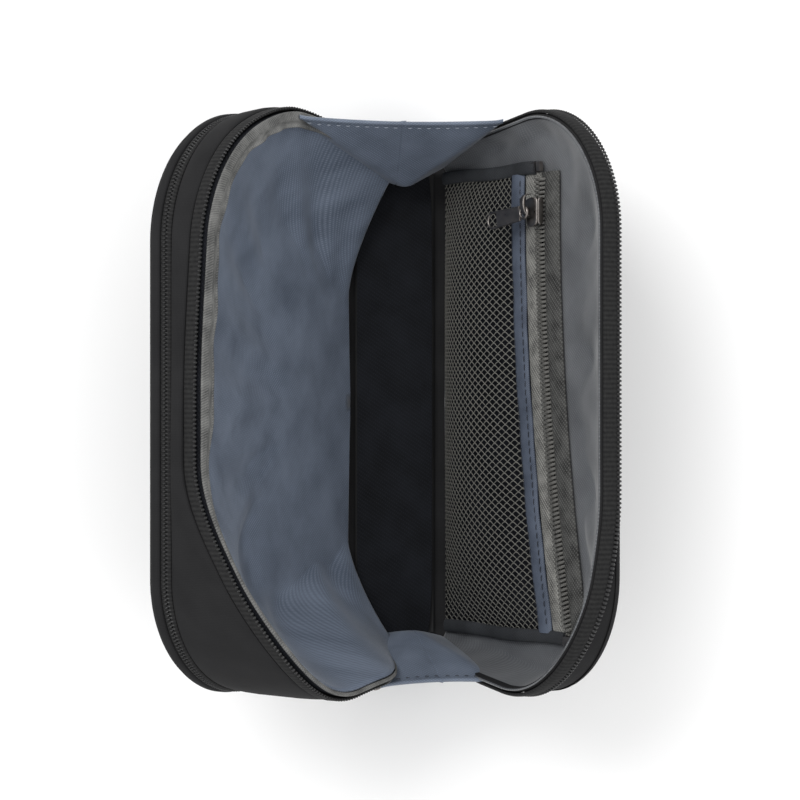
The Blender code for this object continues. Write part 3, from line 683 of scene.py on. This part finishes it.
# Sewing threads: pale dashes along the left hem, dark and nearly hidden elsewhere.
pale_thread = nylon("pale_polyester_thread", "#777c85", 0.6)
dark_thread = nylon("dark_polyester_thread", "#15181e", 0.6)
wall_out = (cover(1.0, 0.0, 0.0) - cover(0.0, 0.0, 0.0)) * 1000
for row, below in (("upper", -10.7), ("lower", -15.5)):
    y = np.arange(POCKET_HALF - 3, -POCKET_HALF + 3, -2.6)
    level = zip_height(y) + below
    seam = stitches("binding_stitches_" + row, cover(5.12, level, y), np.tile([0.0, -1.0, 0.0], (len(y), 1)),
                    np.tile(wall_out, (len(y), 1)), 1.7, dark_thread)
    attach(seam, "cover")

# Grey nylon: glossier than the charcoal, so the pocket's coil shows bright beads.
grey_nylon = nylon("grey_nylon_coil", "#4f4e4b", 0.26)
PITCH = 1.35
for part, side in (("upper", 1), ("lower", -1)):
    y = np.arange(POCKET_HALF - 1.5, -POCKET_HALF + 1.5, -PITCH) - (PITCH / 2 if side > 0 else 0)
    open_part = 0.5 * ease((y - 58) / 14)
    height = zip_height(y) + side * (2.0 + open_part)
    u = 4.75 + 0 * y
    spots = cover(u, height, y)
    along = cover(u, zip_height(y - 0.5), y - 0.5) - cover(u, zip_height(y + 0.5), y + 0.5)
    along /= np.linalg.norm(along, axis=1, keepdims=True)
    out = np.broadcast_to(cover(1.0, 0.0, 0.0) - cover(0.0, 0.0, 0.0), along.shape) * 1000
    inward = np.cross(along, out)
    up = cover(0.0, 1.0, 0.0) - cover(0.0, 0.0, 0.0)
    if (inward[0] @ up) * side > 0:
        inward = -inward
    teeth = loops("mesh_coil_" + part + "_loops", spots, along, inward, out, (2.5, 0.85, 0.44),
                  PITCH, grey_nylon, lean=0.35)
    add_pocket_piece(teeth, "mesh_coil_" + part)


# The netting is knitted polyester. Neighbouring threads wander towards each other and
# touch at every second crossing, which leaves open diamonds about 2 mm across.
# Netting thread: a dull taupe that stands out from the black behind it.
netting = nylon("taupe_netting_thread", "#5b5a55", 0.6)
NET_FOOT = 4.5


def net_depth(y, rise):
    """Depth of the netting: it stands off the lining in a soft dome."""
    along = np.clip(np.abs(y) / POCKET_HALF, 0, 1)
    return 4.3 + 7.4 * np.sin(math.pi * rise) ** 0.9 * (1 - along ** 4)


def make_netting():
    """Square threads along zigzags: each point's offset is a sine of its height."""
    threads = 122
    knots = 86
    base_y = np.linspace(-POCKET_HALF + 0.6, POCKET_HALF - 0.6, threads)[:, None]
    rise = np.linspace(0, 1, knots)[None, :]
    phase = np.where(np.arange(threads)[:, None] % 2 == 0, 1.0, -1.0)
    y = base_y + 0.54 * phase * np.sin(rise * math.pi * 17 * 2)
    top = zip_height(y) - 16.3
    h = NET_FOOT + rise * (top - NET_FOOT)
    u = net_depth(y, rise) + 0.12 * phase * np.cos(rise * math.pi * 17 * 2)
    centre = cover(u, h, y)
    out = (cover(1.0, 0.0, 0.0) - cover(0.0, 0.0, 0.0)) * 1000
    side = np.array([0.0, 1.0, 0.0])
    wire = 0.00017
    corners = [out * wire, side * wire, -out * wire, -side * wire]
    points = np.stack([centre + corner for corner in corners], axis=2)
    index = np.arange(threads * knots * 4).reshape(threads, knots, 4)
    index = np.concatenate([index, index[:, :, :1]], axis=2)
    quads = np.stack([index[:, :-1, :-1], index[:, 1:, :-1], index[:, 1:, 1:], index[:, :-1, 1:]], -1)
    faces = quads.reshape(-1, 4).tolist()
    ends = np.concatenate([index[:, 0, :4], index[:, -1, 3::-1]])
    faces += ends.tolist()
    uv = np.zeros((threads * knots * 4, 2))
    return build_mesh("mesh_panel_netting", points.reshape(-1, 3), faces, uv, netting)


net = make_netting()
add_pocket_piece(net, "mesh_panel")


def pocket_backing():
    """Black cloth just off the lining, from the foot up to the zip; its black is partly painted shade behind
    the netting.
    """
    y, rise = np.meshgrid(np.linspace(-POCKET_HALF, POCKET_HALF, 60), np.linspace(0, 1, 20), indexing="ij")
    h = 3.6 + rise * (zip_height(y) - 6 - 3.6)
    u = 3.65 + 0.1 * np.sin(y / 9) * np.sin(rise * 5)
    piece = grid_mesh("mesh_pocket_backing", cover(u, h, y), np.stack([y, h], -1), black_twill_with_painted_shade)
    face_towards(piece, (-1, 0, 1))
    return piece


backing = pocket_backing()
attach(backing, "cover")
thicken(backing, 0.3)

# End strips: a grey tape darkened with painted shade, which frames the pocket quietly.
edge_cloth = woven("grey_edge_tape_painted_shade", "#1d1e20", "#3d3f42", (0.6, 0.6), 0.8, 0.7, 0.00008)
for part, direction in (("left", 1), ("right", -1)):
    turn = np.linspace(0, 2 * math.pi, 16, endpoint=False)
    rise, turn = np.meshgrid(np.linspace(0, 1, 40), turn, indexing="ij")
    y = direction * (POCKET_HALF + 1.4 + 2.1 * np.cos(turn)) + 0.3 * np.sin(rise * 9)
    low, high = NET_FOOT, zip_height(direction * (POCKET_HALF + 2.0)) - 2.5
    h = low + rise * (high - low)
    u = 4.6 + 0.9 * np.sin(turn) + 0.35 * np.sin(rise * 14 + direction)
    strip = grid_mesh("mesh_end_strip_" + part, cover(u, h, y), np.stack([y, h], -1), edge_cloth,
                      wrap=True, caps=True)
    add_pocket_piece(strip, "mesh_end_binding_" + part)


# ---- Gussets ---------------------------------------------------------------------------
# Each short end is closed by a folded panel of the lining. A hem runs straight across
# its top; below it the cloth is drawn in to a point low in the middle.
def plane_through(a, b, c):
    """Coefficients of y = p x + q z + r through three points."""
    grid = np.array([[point[0], point[2], 1.0] for point in (a, b, c)])
    return np.linalg.solve(grid, np.array([point[1] for point in (a, b, c)]))


def make_gusset(end, hem_left, hem_right, tip, low_left, low_right):
    """The pyramid of four facets as a soft maximum of their planes, in two pieces."""
    facets = [(hem_left, hem_right, tip), (hem_left, low_left, tip),
              (hem_right, low_right, tip), (low_left, low_right, tip)]
    planes = np.array([plane_through(*facet) for facet in facets])
    down = np.linspace(0, 1, 60)[None, :]
    sharp = 1.6
    hem_sag = 1.6
    pieces = []
    for part, share in (("front", np.linspace(0, 0.52, 42)), ("cover", np.linspace(0.5, 1, 40))):
        a = share[:, None]
        left = [hem_left[i] + (low_left[i] - hem_left[i]) * down for i in (0, 2)]
        right = [hem_right[i] + (low_right[i] - hem_right[i]) * down for i in (0, 2)]
        x = left[0] + (right[0] - left[0]) * a
        z = left[1] + (right[1] - left[1]) * a
        z = z - hem_sag * np.sin(math.pi * a) * (1 - down) ** 2
        stack = planes[:, 0, None, None] * x + planes[:, 1, None, None] * z + planes[:, 2, None, None]
        peak = stack.max(axis=0)
        y = peak + np.log(np.exp(sharp * (stack - peak)).sum(axis=0)) / sharp
        soft = np.sin(math.pi * a) * np.sin(math.pi * down)
        y = y - 0.5 * soft * np.sin(x / 6.0 + z / 9.0)
        y = y + (0.25 if part == "front" else 0.0) * ease((a - 0.48) / 0.03)
        points = np.stack([x, end * y, z], -1) / 1000
        name = ("left" if end > 0 else "right") + "_gusset_" + part
        piece = grid_mesh(name + "_cloth", points, np.stack([x, z], -1), lining_cloth)
        face_towards(piece, (0, -end, 1))
        thicken(piece, 0.5)
        pieces.append((part, name, piece, points))
    return pieces


for end, corners in (
    (1, ((-29, 87.3, 60.5), (34, 87.3, 46.5), (4, 68.5, 19), (-15, 75.5, 5.5), (15, 75.5, 5.5))),
    (-1, ((-4, 86.8, 60.5), (33, 86.8, 46.5), (8, 72.5, 22), (-10, 75.5, 5.5), (15, 75.5, 5.5))),
):
    for part, node, piece, points in make_gusset(end, *corners):
        edge = points[:, 0]
        turn = np.linspace(0, 2 * math.pi, 12, endpoint=False)
        hem = edge[:, None, :] + np.stack(
            [0 * turn, end * 0.7 * np.cos(turn), 0.95 * np.sin(turn) - 0.75], -1) / 1000
        uv = np.stack([np.broadcast_to(edge[:, :1] * 1000, hem.shape[:2]), np.tile(turn, (len(edge), 1))], -1)
        rolled = grid_mesh(node + "_hem", hem, uv, lining_cloth, wrap=True, caps=True)
        run = np.arange(edge[0, 0] + 0.0025, edge[-1, 0] - 0.0015, 0.003)
        row = np.stack([np.interp(run, edge[:, 0], points[:, 2, c]) for c in range(3)], -1)
        row = row + np.array([0.0, -end * 0.00045, 0.0004])
        facing = np.tile(np.array([0.0, -end * 0.75, 0.66]), (len(row), 1))
        seam = stitches(node + "_stitches", row, np.tile([1.0, 0.0, 0.0], (len(row), 1)), facing, 1.0,
                        pale_thread if end > 0 else dark_thread)
        for trim in (rolled, seam):
            if part == "front":
                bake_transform(trim)
            else:
                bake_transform(trim)
        if part == "front":
            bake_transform(piece)
        else:
            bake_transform(piece)
        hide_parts(node)


# ---- Sliders and pulls -------------------------------------------------------------------
# Sliders, bridges and flat pulls are zinc castings with a dark satin plating.
def gunmetal_finish():
    """Satin gunmetal plating: metallic, with faint cloudy wear in its roughness."""
    material, tree, shader = start_material("satin_gunmetal_plating", 0.34, metallic=1.0)
    place = add(tree, "ShaderNodeTexCoord")
    cloud = add(tree, "ShaderNodeTexNoise", {"Scale": 350.0, "Detail": 4.0}, Vector=place.outputs["Object"])
    rule = {"data_type": "RGBA", 6: linear("#6a6562"), 7: linear("#8f8a86")}
    colour = add(tree, "ShaderNodeMix", rule, i0=cloud.outputs[0])
    rule = {"From Min": 0.3, "From Max": 0.7, "To Min": 0.26, "To Max": 0.42}
    wear = add(tree, "ShaderNodeMapRange", rule, Value=cloud.outputs[0])
    bump = add(tree, "ShaderNodeBump", {"Strength": 0.15, "Distance": 0.00002}, Height=cloud.outputs[0])
    tree.links.new(colour.outputs[2], shader.inputs["Base Color"])
    tree.links.new(wear.outputs[0], shader.inputs["Roughness"])
    tree.links.new(bump.outputs[0], shader.inputs["Normal"])
    return material


gunmetal = gunmetal_finish()
for name in ("mesh_bottom_stop", "mesh_top_stop_upper", "mesh_top_stop_lower"):
    nodes[name].data.materials[0] = gunmetal


def cast_bar(name, centre, side, up, half_side, half_up):
    """A casting along centre points: each section is a superellipse of the two half sizes."""
    turn = np.linspace(0, 2 * math.pi, 20, endpoint=False)
    a = (np.sign(np.cos(turn)) * np.abs(np.cos(turn)) ** 0.55)[None, :, None]
    b = (np.sign(np.sin(turn)) * np.abs(np.sin(turn)) ** 0.55)[None, :, None]
    wide = np.broadcast_to(half_side, len(centre))[:, None, None] / 1000
    tall = np.broadcast_to(half_up, len(centre))[:, None, None] / 1000
    points = centre[:, None, :] + a * wide * side + b * tall * up
    return grid_mesh(name, points, np.zeros(points.shape[:2] + (2,)), gunmetal, wrap=True, caps=True)


def wire_ring(name, loop, up, radius):
    """Round wire along a closed loop that lies in the plane square to up."""
    run = np.roll(loop, -1, axis=0) - np.roll(loop, 1, axis=0)
    side = np.cross(run / np.linalg.norm(run, axis=1, keepdims=True), up)
    turn = np.linspace(0, 2 * math.pi, 10, endpoint=False)[None, :, None]
    points = loop[:, None, :] + radius / 1000 * (np.cos(turn) * side[:, None, :] + np.sin(turn) * up)
    points = np.concatenate([points, points[:1]], axis=0)
    return grid_mesh(name, points, np.zeros(points.shape[:2] + (2,)), gunmetal, wrap=True)


def merge(name, parts):
    """Put several closed castings into one piece."""
    work = bmesh.new()
    for part in parts:
        work.from_mesh(part.data)
        bpy.data.objects.remove(part)
    mesh = bpy.data.meshes.new(name)
    work.to_mesh(mesh)
    work.free()
    mesh.materials.append(gunmetal)
    piece = bpy.data.objects.new(name, mesh)
    bpy.context.scene.collection.objects.link(piece)
    return piece


def make_pull(name, pin, hang, side):
    """Flat pull: a round eye, a tapered plate, and a raised rim that closes its end hole."""
    up = np.cross(side, hang)
    eye = np.linspace(0, 2 * math.pi, 28, endpoint=False)[:, None]
    ring = pin + (hang * (0.9 + 1.75 * np.cos(eye)) + side * 1.75 * np.sin(eye)) / 1000
    reach = np.linspace(2.9, 13.9, 14)
    plate = cast_bar("plate", pin + hang * reach[:, None] / 1000, side, up, 1.9 + 0.045 * reach, 0.38)
    half = np.linspace(-math.pi / 2, math.pi / 2, 15)
    end = np.stack([16.0 + 2.4 * np.cos(half), 2.45 * np.sin(half)], -1)
    rim = np.concatenate([[[2.8, -2.0]], [[9.0, -2.2]], end, [[9.0, 2.2]], [[2.8, 2.0]]])
    rim = pin + (hang * rim[:, :1] + side * rim[:, 1:]) / 1000
    return merge(name, [wire_ring("eye", ring, up, 0.5), plate, wire_ring("rim", rim, up, 0.42)])


def make_slider(name, pin, zip_axis, out, near, far):
    """Tapered plate with two flanges, under a low arched bridge from near to far."""
    side = np.cross(zip_axis, out)
    t = np.linspace(-1, 1, 22)
    round_off = np.clip(1 - np.abs(t) ** 8, 0.02, 1) ** 0.4
    base = pin - out * 0.0024
    plate = cast_bar("plate", base + zip_axis * t[:, None] * 0.0045, side, out,
                     (3.2 - 0.6 * t) * round_off, 0.55)
    flanges = [
        cast_bar("flange", base + zip_axis * t[:, None] * 0.0042 - out * 0.0011
                 + side * edge * (3.0 - 0.55 * t)[:, None] / 1000, side, out, 0.32, 1.0 * round_off)
        for edge in (-1, 1)
    ]
    rise = np.linspace(0, math.pi, 22)
    along = near + (far - near) * (1 - np.cos(rise)) / 2
    lift = 2.0 + 3.2 * np.sin(rise) ** 0.55 - 4.2
    middle = pin + (zip_axis * along[:, None] + out * lift[:, None]) / 1000
    arch = cast_bar("bridge", middle, side, out, 1.0, 0.42)
    return merge(name, [plate, *flanges, arch])


def unit(vector):
    """The vector at length one."""
    return np.array(vector, float) / np.linalg.norm(vector)


hinges = {joint["name"]: joint for joint in frame["record"]["behaviour"]["joints"]}
for zipper, body in (("mesh", "cover"), ("main", "front_half"), ("pocket", "front_half")):
    slide = unit(hinges[zipper + "_zip_slide"]["axis"])
    swing = unit(hinges[zipper + "_puller_hinge"]["axis"])
    pin = np.array(hinges[zipper + "_puller_hinge"]["pos_m"], float)
    if zipper == "mesh":
        outward = unit(np.cross(slide, np.cross(wall_out, slide)))
        wall_down = unit(np.cross(slide, outward))
        wall_down = wall_down if wall_down[2] < 0 else -wall_down
        hang = unit(outward * math.cos(math.radians(84)) + wall_down * math.sin(math.radians(84)))
        near, far = -5.6, 1.4
    else:
        outward = unit(np.cross(swing, slide))
        outward = outward if outward[1] < 0 else -outward
        hang = -slide
        near, far = -3.4, 3.4
    body_piece = make_slider(zipper + "_slider_casting", pin, slide, outward, near, far)
    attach(body_piece, zipper + "_slider_body")
    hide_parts(zipper + "_slider", zipper + "_slider_bridge")
    pull = make_pull(zipper + "_pull_casting", pin, hang, swing)
    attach(pull, zipper + "_puller_body")
    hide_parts(zipper + "_puller")


# ---- Studio ----------------------------------------------------------------------------
# A pale table, a soft white room and a camera straight above the open pouch.
def make_studio():
    size = 1.6
    mesh = bpy.data.meshes.new("table")
    corners = [(-size, -size, 0), (size, -size, 0), (size, size, 0), (-size, size, 0)]
    mesh.from_pydata(corners, [], [(0, 1, 2, 3)])
    table = bpy.data.objects.new("table", mesh)
    bpy.context.scene.collection.objects.link(table)
    white = start_material("pale_table", 0.9)[0]
    white.node_tree.nodes["Principled BSDF"].inputs["Base Color"].default_value = linear("#f6f6f6")
    mesh.materials.append(white)

    world = bpy.data.worlds.new("soft_room")
    world.use_nodes = True
    world.node_tree.nodes["Background"].inputs[0].default_value = (1, 1, 1, 1)
    world.node_tree.nodes["Background"].inputs[1].default_value = 0.95
    bpy.context.scene.world = world

    for name, spot, energy, width in (
        ("key", (-0.45, 0.55, 1.1), 7.5, 0.6),
        ("fill", (0.6, -0.3, 1.0), 2.5, 0.8),
    ):
        light = bpy.data.lights.new(name, "AREA")
        light.energy = energy
        light.size = width
        lamp = bpy.data.objects.new(name, light)
        lamp.location = spot
        aim = np.array([0.0, 0.0, 0.05]) - np.array(spot)
        yaw = math.atan2(aim[1], aim[0])
        pitch = math.atan2(-aim[2], math.hypot(aim[0], aim[1]))
        lamp.rotation_euler = (math.pi / 2 - pitch, 0.0, yaw - math.pi / 2)
        bpy.context.scene.collection.objects.link(lamp)

    eye = bpy.data.cameras.new("camera")
    eye.lens = 134.3
    eye.sensor_width = 36.0
    camera = bpy.data.objects.new("camera", eye)
    camera.location = (0.0018, 0.0007, 0.977)
    bpy.context.scene.collection.objects.link(camera)
    bpy.context.scene.camera = camera
    bpy.context.scene.view_settings.view_transform = "Standard"


make_studio()
